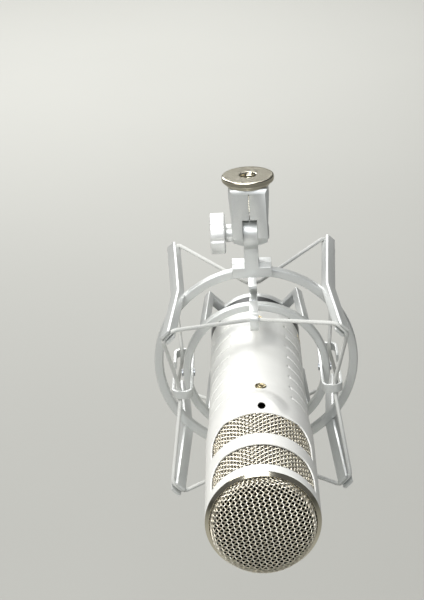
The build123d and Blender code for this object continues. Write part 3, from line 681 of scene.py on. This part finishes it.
def on_dome(flat_x, flat_z, height):
    """Carry flat points onto the dome: the distance from the middle becomes the length along the
    profile, and height is measured along the surface's normal. Also the normals and the whole length."""
    profile = dome_profile()
    run = np.concatenate([[0], np.cumsum(np.linalg.norm(np.diff(profile, axis=0), axis=1))])
    reach = np.hypot(flat_x, flat_z)
    radius = np.interp(reach, run, profile[:, 0])
    y = np.interp(reach, run, profile[:, 1])
    slope_r = np.gradient(profile[:, 0], run)
    slope_y = np.gradient(profile[:, 1], run)
    normal = np.stack([np.interp(reach, run, slope_y), -np.interp(reach, run, slope_r)], axis=-1)
    normal_r, normal_y = unit(normal).T
    clock = np.arctan2(flat_x, flat_z)
    centre = about_mic(radius + height * normal_r, y + height * normal_y, clock)
    normal = np.stack([normal_r * np.sin(clock), normal_y, normal_r * np.cos(clock)], axis=-1)
    return centre, normal, run[-1]


class MICROPHONE_OT_front_mesh(bpy.types.Operator):
    """Plain-woven wire dome over the front of the head"""

    bl_idname = "microphone.front_mesh"
    bl_label = "Front mesh"

    def execute(self, context):
        sizes = context.scene.mic_mesh
        pitch = sizes.pitch
        sink = sizes.wire
        limit = on_dome(np.zeros(1), np.zeros(1), 0.0)[2]
        slant = np.array([math.cos(sizes.slant), math.sin(sizes.slant)])
        lines = int(limit / pitch)
        wires = []
        for family in (0, 1):
            along = slant if family == 0 else np.array([-slant[1], slant[0]])
            beside = np.array([-along[1], along[0]])
            for index in range(-lines, lines + 1):
                offset = index * pitch
                half = math.sqrt(max(limit**2 - offset**2, 0))
                if half < 2 * pitch:
                    continue
                run = np.linspace(-half, half, max(8, int(2 * half / pitch * sizes.steps)))
                sign = (-1) ** (index + family)
                height = sign * sizes.wire / 2 * np.cos(math.pi * run / pitch) - sink
                flat = run[:, None] * along[None] + offset * beside[None]
                centre, normal, _ = on_dome(flat[:, 0], flat[:, 1], height)
                wires.append((centre, normal, False))
        mesh = tubes("front_woven_mesh", wires, sizes, materials["wire"])
        place_piece(mesh, "cradle", "grille_wire", "front_grille")
        return {"FINISHED"}


class MICROPHONE_OT_side_mesh(bpy.types.Operator):
    """Plain-woven wire sleeve behind the casing's windows"""

    bl_idname = "microphone.side_mesh"
    bl_label = "Side mesh"

    def execute(self, context):
        sizes = context.scene.mic_mesh
        casing = context.scene.mic_casing
        gap = 0.1 * MM
        radius = HEAD_RADIUS - casing.wall - gap - sizes.wire
        straight = 2 * round(math.pi * radius / sizes.pitch)
        crossing = 2 * math.pi / straight
        swing = sizes.wire / 2
        round_steps = straight * sizes.steps
        clock = full_turn(round_steps)
        bands = {
            "rear_window_mesh": (casing.window_one, casing.window_one_width),
            "front_window_mesh": (casing.window_two, casing.window_two_width),
        }
        for name, (middle_y, width) in bands.items():
            rings = math.ceil(width / sizes.pitch / 2) + 1
            run = np.linspace(-rings - 0.5, rings + 0.5, (2 * rings + 1) * sizes.steps)
            wires = []
            for index in range(-rings, rings + 1):
                height = (-1) ** index * swing * np.cos(clock / crossing * math.pi)
                line = about_mic(radius + height, middle_y + index * sizes.pitch, clock)
                wires.append((line, outward_at(clock), True))
            for index in range(straight):
                height = -((-1) ** index) * swing * np.cos(run * math.pi)
                here = np.full(len(run), index * crossing)
                line = about_mic(radius + height, middle_y + run * sizes.pitch, here)
                wires.append((line, outward_at(here), False))
            mesh = tubes(name, wires, sizes, materials["wire"])
            place_piece(mesh, "cradle", "grille_wire", "side_grille")
        return {"FINISHED"}


# ---- head rim, badge and light
class MICROPHONE_OT_bezel(bpy.types.Operator):
    """Rolled nickel rim between the casing and the front mesh"""

    bl_idname = "microphone.bezel"
    bl_label = "Front rim"

    def execute(self, context):
        front = low_side("front_bezel", 1)
        rear = high_side("front_bezel", 1)
        lip = low_side("body_shell", 1) - 0.15 * MM
        bore = HEAD_RADIUS - 2.5 * MM
        sleeve = bore + 0.5 * MM
        outer = HEAD_RADIUS - 0.1 * MM
        crown = 0.3 * MM
        corners = [(bore, front), (sleeve, front - crown), (outer, lip - crown), (outer, lip)]
        corners += [(sleeve, lip), (sleeve, rear), (bore, rear)]
        easing = np.array([0.2, 0.25, 0.25, 0.1, 0.1, 0.1, 0.1])[:, None] * MM
        rim = turned_ring("front_rim", corners, easing, materials["nickel"], 9)
        place_piece(rim, "cradle", "nickel_plate", "front_bezel")
        return {"FINISHED"}


def medallion(name, clock, y, top_radius, radius, relief, material):
    """A round disc set into a curved wall: its face is a grid of rings round a centre point, with a
    height for each ring from relief (share of the radius, height), on a straight skirt."""
    steps = 48
    turn = full_turn(steps)[:, None]
    share, rise = np.array(relief).T
    sideways = radius * share * np.cos(turn)
    along = radius * share * np.sin(turn)
    up = top_radius + rise + 0 * turn
    x = up * math.sin(clock) + sideways * math.cos(clock)
    z = up * math.cos(clock) - sideways * math.sin(clock) + AXIS_Z
    faces = grid_faces(steps, len(relief), True, False)
    first = list(range(0, steps * len(relief), len(relief)))
    last = [point + len(relief) - 1 for point in first]
    points = np.stack([x, y + along, z], axis=-1)
    return outward(mesh_object(name, points, faces + [first[::-1], last], material))


class MICROPHONE_OT_badge(bpy.types.Operator):
    """Plain brass badge with a raised rim and a dished middle"""

    bl_idname = "microphone.badge"
    bl_label = "Badge"

    def execute(self, context):
        x, y, z = middle_of("badge_disc")
        radius = (high_side("badge_disc", 1) - low_side("badge_disc", 1)) / 2
        proud = 0.3 * MM
        top = math.hypot(x, z - AXIS_Z) + proud
        shares = (0.18, 0.26, 0.34, 0.78, 0.84, 0.94, 1.0, 1.0)
        rises = (0.12, 0.1, -0.1, -0.12, 0.14, 0.16, 0.05, -0.65)
        relief = [(share, rise * MM) for share, rise in zip(shares, rises)]
        clock = math.atan2(x, z - AXIS_Z)
        badge = medallion("badge_medallion", clock, y, top, radius, relief, materials["brass"])
        place_piece(badge, "cradle", "brass", "badge_disc")
        return {"FINISHED"}


# ---- elastics
def elastic_corners(tip_y, hook_y):
    """Corners of one closed elastic loop, in turn round the mount: across each fork and across each
    hook. The cord passes a fork or a hook at its radius, half a spacing to each side of its middle."""
    fork_radius = 65.0 * MM
    hook_radius = 42.6 * MM
    fork_half = 4.1 * MM
    hook_half = 2.9 * MM
    corners = []
    for tip in (225, 315, 45, 135):
        corners.append((fork_radius, tip_y, fork_half, tip))
        corners.append((hook_radius, hook_y, -hook_half, tip + 45))
        corners.append((hook_radius, hook_y, hook_half, tip + 45))
        corners.append((fork_radius, tip_y, -fork_half, tip + 90))
    radius, y, sideways, clock = np.array(corners).T
    clock = np.radians(clock)
    across = np.stack([np.cos(clock), 0 * clock, -np.sin(clock)], axis=-1)
    return about_mic(radius, y, clock) + sideways[:, None] * across


def loop_path(corners, bend, spacing):
    """A closed smooth path round the corners, sampled at even spacing, and its whole length."""
    line = rounded_outline(corners, bend, 12, 0.48)
    line = np.concatenate([line, line[:1]])
    run = np.concatenate([[0], np.cumsum(np.linalg.norm(np.diff(line, axis=0), axis=1))])
    even = np.linspace(0, run[-1], int(run[-1] / spacing), endpoint=False)
    return np.stack([np.interp(even, run, line[:, k]) for k in range(3)], axis=-1), run[-1]


def braided_loop(name, corners, sizes, material):
    """A closed round cord: each ring is centre + r (cos a side + sin a up), with up turned square to the
    path, and r = radius + relief (|sin(strands a / 2 + s)| - 1), where s grows by pi with each stitch,
    both ways."""
    line, total = loop_path(corners, sizes.bend, 0.45 * MM)
    along = unit(chord(line))
    outwards = line - np.array([0, 0, AXIS_Z])
    outwards[:, 1] = 0
    side = unit(np.cross(along, outwards))
    up = np.cross(side, along)
    around = 24
    turn = full_turn(around)[None, :]
    stitches = round(total / sizes.plait)
    travel = np.arange(len(line))[:, None] / len(line) * stitches * math.pi
    one = np.abs(np.sin(sizes.strands * turn / 2 + travel))
    other = np.abs(np.sin(sizes.strands * turn / 2 - travel))
    radius = sizes.diameter / 2 + sizes.relief * (np.minimum(one, other) - 1)
    turn = turn[:, :, None]
    arm = np.cos(turn) * side[:, None] + np.sin(turn) * up[:, None]
    ring = line[:, None] + radius[:, :, None] * arm
    cord = closed_mesh(name, ring, material)
    corner = np.empty(len(cord.data.loops), dtype=np.int32)
    cord.data.loops.foreach_get("vertex_index", corner)
    row, column = (unwrapped(k, n) for k, n in zip(np.divmod(corner, around), (len(line), around)))
    uv = np.stack([column / around * sizes.strands / 2, row / len(line) * stitches], axis=-1)
    cord.data.uv_layers.new(name="UVMap").data.foreach_set("uv", uv.ravel())
    return cord


def unwrapped(index, count_all):
    """A grid index for each corner of each quad, with 0 as the full count where the quad closes round."""
    closes = np.repeat(np.ptp(index.reshape(-1, 4), axis=1) > 1, 4)
    return np.where(closes & (index == 0), count_all, index)


class MICROPHONE_OT_elastics(bpy.types.Operator):
    """Two braided elastic loops that hold the cradle in the outer frame"""

    bl_idname = "microphone.elastics"
    bl_label = "Elastics"

    def execute(self, context):
        sizes = context.scene.mic_cord
        reach = sizes.diameter / 2
        for name in ("front_elastic", "rear_elastic"):
            near = low_side(name, 1) + reach
            far = high_side(name, 1) - reach
            if name == "front_elastic":
                near, far = far, near
            cord = braided_loop(f"{name}_loop", elastic_corners(far, near), sizes, materials["cord"])
            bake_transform(cord)
            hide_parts(name)
        return {"FINISHED"}


# ---- mount
class MICROPHONE_OT_mount(bpy.types.Operator):
    """Lacquered castings of the swivel, the outer frame and the cradle, with their edges eased"""

    bl_idname = "microphone.mount"
    bl_label = "Mount castings"

    def execute(self, context):
        eased = {
            "swivel_barrel": ("swivel", 0.3),
            "clamp_nut": ("swivel", 0.3),
            "knob_spacer": ("clamp_knob", 0.5),
            "tongue_saddle": ("frame", 0.22),
            "rear_collar": ("cradle", 0.5),
            "lock_ring": ("lock_ring", 0.35),
        }
        for place in ("upper_right", "lower_right", "lower_left", "upper_left"):
            eased[f"frame_arm_{place}"] = ("frame", 0.35)
            eased[f"cradle_rib_{place}"] = ("cradle", 0.7)
        for place in ("top", "right", "bottom", "left"):
            eased[f"hook_strap_{place}"] = ("cradle", 0.35)
        slots = {"knob_spacer": "silver_bright", "lock_ring": "black_plastic"}
        for node, (body, width) in eased.items():
            piece = eased_copy(node, width * MM, materials[finish_of(node)])
            place_piece(piece, body, slots.get(node, "silver_paint"), node)
        for node, body, width in (("outer_ring", "frame", 5.0), ("cradle_ring", "cradle", 4.4)):
            outer = (high_side(node, 0) - low_side(node, 0)) / 2
            front, rear = low_side(node, 1), high_side(node, 1)
            bore = outer - width * MM
            corners = [(bore, front), (outer, front), (outer, rear), (bore, rear)]
            ring = turned_ring(f"{node}_turned", corners, 1.1 * MM, materials["lacquer"], 7)
            place_piece(ring, body, "silver_paint", node)
        return {"FINISHED"}


# ---- adaptor and knob
class MICROPHONE_OT_adaptor(bpy.types.Operator):
    """Nickel flanged thread adaptor with a knurled edge, a threaded bore and a threaded spigot"""

    bl_idname = "microphone.adaptor"
    bl_label = "Thread adaptor"

    def execute(self, context):
        bottom = low_side("thread_adaptor", 2) / MM
        bore, chamfer_z = 4.0, -0.9
        flange = 14.3
        spigot, spigot_z = 7.9, -5.0
        profile = [(bore, bottom), (bore, chamfer_z), (4.8, 0.0), (13.6, 0.0), (14.1, -0.25)]
        profile += [(flange, -0.7), (flange, -2.5), (14.0, -3.0), (12.3, -3.1), (12.2, -4.8)]
        profile += [(12.0, spigot_z), (spigot, spigot_z), (spigot, bottom + 0.6), (7.3, bottom)]
        radius, z = subdivide(np.array(profile), 0.22).T
        turn = full_turn(240)[:, None]
        near = 0.05
        teeth, tooth = 60, 0.12
        knurl = (radius > flange - near) * tooth * (np.cos(teeth * turn) - 1)
        thread_pitch, thread_depth, thread_sink = 1.5, 0.22, 0.25
        thread = thread_depth * np.cos(2 * math.pi * z / thread_pitch - turn)
        inside = (radius < bore + 2 * near) & (z < chamfer_z)
        outside = (np.abs(radius - spigot) < near) & (z < spigot_z - 0.6)
        swell = radius + knurl + inside * (thread + thread_sink) + outside * (thread - thread_sink)
        points = [swell * np.sin(turn), swell * np.cos(turn), z + 0 * turn]
        points = np.stack(points, axis=-1) * MM
        adaptor = closed_mesh("thread_adaptor_turned", points, materials["nickel"])
        place_piece(adaptor, "stand", "nickel_plate", "thread_adaptor")
        return {"FINISHED"}


def subdivide(points, spacing):
    """Points along a closed run of straight lines, no further apart than the spacing, corners kept."""
    out = []
    for start, end in zip(points, np.roll(points, -1, axis=0)):
        steps = max(1, math.ceil(np.linalg.norm(end - start) / spacing))
        out.append(start + (end - start) * np.arange(steps)[:, None] / steps)
    return np.concatenate(out)


class MICROPHONE_OT_knob(bpy.types.Operator):
    """Clamp knob with shallow flutes, a dished face and rolled edges"""

    bl_idname = "microphone.knob"
    bl_label = "Clamp knob"

    def execute(self, context):
        low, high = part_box("thumb_knob")
        inner, outer = high[0], low[0]
        pivot = (low[2] + high[2]) / 2
        radius = (high[2] - low[2]) / 2
        bore = 2.5 * MM
        dish = outer + 0.7 * MM
        flutes, flute_depth = 8, 0.75 * MM
        corners = [(bore, inner), (radius, inner), (radius, outer), (radius - 2.2 * MM, outer)]
        corners += [(radius - 3.0 * MM, dish), (bore + 0.1 * MM, dish), (bore, dish + 0.9 * MM)]
        across, along = rounded_outline(corners, 1.1 * MM, 6).T
        turn = full_turn(192)[:, None]
        flute = np.clip(np.cos(flutes * turn), 0, 1) ** 3 * flute_depth
        swell = across - flute * between(across, radius - 3.2 * MM, radius - 0.6 * MM)
        points = [along + 0 * turn, swell * np.sin(turn), swell * np.cos(turn) + pivot]
        points = np.stack(points, axis=-1)
        knob = closed_mesh("clamp_knob_fluted", points, materials["pale_lacquer"])
        place_piece(knob, "clamp_knob", "silver_bright", "thumb_knob")
        return {"FINISHED"}


# ---- finishes
FINISHES = {
    "steel": "clamp_screw hook_rivets socket_shell ribbon_screws chassis_tray",
    "foam": "pop_filter side_liner",
    "acrylic": "status_lens status_led",
    "brass": "chassis_screws ribbon_clamps board_standoffs badge_disc",
    "abs": "rear_cap socket_insert motor_carrier lock_ring",
    "gold": "socket_pins",
    "foil": "ribbon",
    "yoke": "pole_pieces motor_frame",
    "magnet": "magnets",
    "rubber": "isolator_rings",
    "laminations": "transformer_core",
    "winding": "transformer_coil",
    "board": "circuit_board",
    "nickel": "thread_adaptor front_bezel",
    "wire": "front_grille side_grille",
    "enamel": "body_shell",
    "pale_lacquer": "thumb_knob knob_spacer",
}


def finish_of(node):
    """The finish that lists the node, or else the mount's lacquer."""
    for finish, nodes in FINISHES.items():
        if node in nodes.split():
            return finish
    return "lacquer"


class MICROPHONE_OT_finishes(bpy.types.Operator):
    """Give every CAD node the material of the part it is"""

    bl_idname = "microphone.finishes"
    bl_label = "Finishes"

    def execute(self, context):
        for node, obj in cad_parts.items():
            for slot in obj.material_slots:
                slot.material = materials[finish_of(node)]
        return {"FINISHED"}


# ---- stage
def soft_light(name, place, aim, size, power, colour="#FFFFFF"):
    """A square softbox at a place, turned to face the aim."""
    data = bpy.data.lights.new(name, "AREA")
    data.shape = "SQUARE"
    data.size = size
    data.energy = power
    data.color = linear(colour)[:3]
    light = new_object(name, data)
    light.location = place
    light.rotation_euler = (Vector(aim) - Vector(place)).to_track_quat("-Z", "Y").to_euler()


def backdrop_sheet(material):
    """Floor and wall in one sheet: a flat run, a quarter circle of radius r and a wall, drawn out along
    X."""
    floor_z, wall_top = -0.62, 3.38
    bend, depth, half_width = 0.8, 4.0, 14.0
    profile = [(-half_width, floor_z)]
    for turn in np.linspace(0, math.pi / 2, 25):
        profile.append((depth + bend * math.sin(turn), floor_z + bend * (1 - math.cos(turn))))
    y, z = np.array(profile + [(depth + bend, wall_top)]).T
    x = np.linspace(-half_width, half_width, 3)[:, None]
    points = np.stack(np.broadcast_arrays(x, y, z), axis=-1)
    faces = [quad[::-1] for quad in grid_faces(3, len(y), False, False)]
    return mesh_object("backdrop", points, faces, material)


class MICROPHONE_OT_stage(bpy.types.Operator):
    """Plain pale floor, soft studio light and the camera"""

    bl_idname = "microphone.stage"
    bl_label = "Stage"

    def execute(self, context):
        scene = context.scene
        paper, tree, shader = new_material("matt_paper_backdrop", Roughness=0.9, Specular_IOR_Level=0.2)
        tint_base(tree, shader, noise_at(tree, 0.6, 2.0), scene.mic_colours.floor, 0.98, 1.0)
        backdrop_sheet(paper)
        aim = (0, -0.05, -0.09)
        soft_light("key_softbox", (-0.75, -0.7, 1.1), aim, 0.75, 17.0, "#FFFDF8")
        soft_light("top_softbox", (-0.1, 0.35, 1.05), aim, 0.6, 6.0)
        soft_light("front_softbox", (-0.12, -1.25, 0.95), aim, 0.7, 13.0, "#F8FBFF")
        soft_light("backdrop_light", (-0.5, 2.5, 1.4), (0.0, 2.5, -0.6), 1.5, 75.0)
        soft_light("wall_light", (0.0, 2.6, 2.0), (0.0, 4.8, 1.6), 1.0, 7.0)
        world = bpy.data.worlds.new("studio_grey")
        world.use_nodes = True
        world.node_tree.nodes["Background"].inputs["Color"].default_value = linear("#C9CACA")
        world.node_tree.nodes["Background"].inputs["Strength"].default_value = 0.24
        scene.world = world
        scene.view_settings.view_transform = "Standard"
        camera = bpy.data.cameras.new("camera")
        camera.lens = 102.06
        camera.sensor_width = 36.0
        camera.clip_start = 0.05
        viewer = new_object("camera", camera)
        azimuth, elevation, roll = math.radians(1.59), math.radians(23.75), math.radians(-3.27)
        flat = math.cos(elevation)
        forward = (-math.sin(azimuth) * flat, math.cos(azimuth) * flat, -math.sin(elevation))
        forward = Vector(forward)
        level = forward.cross(Vector((0, 0, 1))).normalized()
        upward = level.cross(forward)
        right = math.cos(roll) * level + math.sin(roll) * upward
        up = -math.sin(roll) * level + math.cos(roll) * upward
        matrix = Matrix((right, up, -forward)).transposed().to_4x4()
        matrix.translation = Vector((1.06 * MM, -873.12 * MM, 310.99 * MM))
        viewer.matrix_world = matrix
        scene.camera = viewer
        return {"FINISHED"}


class MICROPHONE_PT_sidebar(bpy.types.Panel):
    """Lists the microphone's building steps"""

    bl_idname = "MICROPHONE_PT_sidebar"
    bl_label = "Microphone"
    bl_space_type = "VIEW_3D"
    bl_region_type = "UI"
    bl_category = "Microphone"

    def draw(self, context):
        for step in STEPS:
            self.layout.operator(step.bl_idname)


STEPS = (
    MICROPHONE_OT_stage,
    MICROPHONE_OT_finishes,
    MICROPHONE_OT_casing,
    MICROPHONE_OT_front_mesh,
    MICROPHONE_OT_side_mesh,
    MICROPHONE_OT_bezel,
    MICROPHONE_OT_badge,
    MICROPHONE_OT_elastics,
    MICROPHONE_OT_mount,
    MICROPHONE_OT_adaptor,
    MICROPHONE_OT_knob,
)
GROUPS = {
    "mic_casing": MicCasingSizes,
    "mic_mesh": MicMeshSizes,
    "mic_cord": MicCordSizes,
    "mic_colours": MicColours,
}


def register():
    for group in (*GROUPS.values(), *STEPS, MICROPHONE_PT_sidebar):
        bpy.utils.register_class(group)
    for name, group in GROUPS.items():
        setattr(bpy.types.Scene, name, bpy.props.PointerProperty(type=group))


def unregister():
    for name in GROUPS:
        delattr(bpy.types.Scene, name)
    for group in (MICROPHONE_PT_sidebar, *reversed(STEPS), *GROUPS.values()):
        bpy.utils.unregister_class(group)


def main():
    register()
    make_materials()
    for step in STEPS:
        getattr(bpy.ops.microphone, step.bl_idname.split(".")[1])()


if __name__ == "__main__":
    main()
